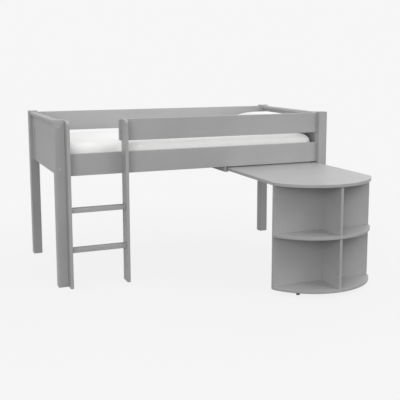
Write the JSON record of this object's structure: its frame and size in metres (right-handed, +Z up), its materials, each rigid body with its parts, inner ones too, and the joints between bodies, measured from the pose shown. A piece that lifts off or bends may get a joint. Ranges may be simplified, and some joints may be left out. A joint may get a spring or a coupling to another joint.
{
  "type": "cabin bed",
  "caption": "Raised single bed with a ladder, mattress and pillow, and a bow-fronted desk with shelves that pulls out from under it on runners and castors.",
  "frame": {"origin": "on the floor, in the middle of the footprint that the bed takes with its desk pulled out", "axes": "+X along the bed from the ladder end to the desk end, +Y from the ladder and desk side to the back, +Z up"},
  "size_m": [2.0744, 1.9412, 1.13],
  "materials": {
    "painted_wood": "satin grey paint on smooth boards",
    "painted_top": "satin grey paint on a smooth desktop",
    "bare_wood": "planed pale softwood",
    "mattress_cloth": "woven white ticking",
    "pillow_cloth": "plain white cotton",
    "zinc_steel": "zinc plated",
    "cap_plastic": "moulded, satin, the colour of the paint",
    "castor_steel": "black coated",
    "castor_tyre": "dark moulded rubber"
  },
  "bodies": {
    "bed_frame": {"front_left_post": "painted_wood", "front_right_post": "painted_wood", "back_left_post": "painted_wood", "back_right_post": "painted_wood", "lower_front_rail": "painted_wood", "guard_rail": "painted_wood", "lower_back_rail": "painted_wood", "upper_back_rail": "painted_wood", "left_end_cap": "painted_wood", "left_end_top_rail": "painted_wood", "left_end_stiles": "painted_wood", "left_end_panel": "painted_wood", "right_end_cap": "painted_wood", "right_end_top_rail": "painted_wood", "right_end_stiles": "painted_wood", "right_end_panel": "painted_wood", "front_ledger": "bare_wood", "back_ledger": "bare_wood", "slats": "bare_wood", "mattress": "mattress_cloth", "pillow": "pillow_cloth", "left_stringer": "painted_wood", "right_stringer": "painted_wood", "lower_rung": "painted_wood", "upper_rung": "painted_wood", "left_runner": "painted_wood", "right_runner": "painted_wood", "frame_bolts": "zinc_steel", "barrel_nuts": "zinc_steel", "bolt_caps": "cap_plastic", "rail_dowels": "bare_wood", "end_dowels": "bare_wood", "cap_dowels": "bare_wood", "ledger_screws": "zinc_steel", "slat_screws": "zinc_steel", "rung_screws": "zinc_steel", "ladder_screws": "zinc_steel", "runner_screws": "zinc_steel", "runner_dowels": "bare_wood"},
    "desk": {"desktop": "painted_top", "shelf_back_panel": "painted_wood", "upper_divider": "painted_wood", "lower_divider": "painted_wood", "middle_shelf": "painted_wood", "bottom_shelf": "painted_wood", "stop_batten": "painted_wood", "batten_screws": "zinc_steel", "desk_dowels": "bare_wood", "shelf_screws": "zinc_steel", "castor_brackets": "castor_steel", "castor_axles": "zinc_steel", "castor_screws": "zinc_steel"},
    "left_castor_wheel": {"left_castor_wheel": "castor_tyre"},
    "right_castor_wheel": {"right_castor_wheel": "castor_tyre"}
  },
  "joints": [
    {"name": "desk_slide", "type": "slide", "parent": "bed_frame", "child": "desk", "axis": [0, 1, 0], "range_m": [0, 0.7]},
    {"name": "left_castor_spin", "type": "hinge", "parent": "desk", "child": "left_castor_wheel", "pos_m": [0.366, -0.8276, 0.0125], "axis": [1, 0, 0], "continuous": true},
    {"name": "right_castor_spin", "type": "hinge", "parent": "desk", "child": "right_castor_wheel", "pos_m": [0.818, -0.8276, 0.0125], "axis": [1, 0, 0], "continuous": true}
  ],
  "couplings": [
    {"joint": "left_castor_spin", "follows": "desk_slide", "rad_per_m": -80},
    {"joint": "right_castor_spin", "follows": "desk_slide", "rad_per_m": -80}
  ]
}
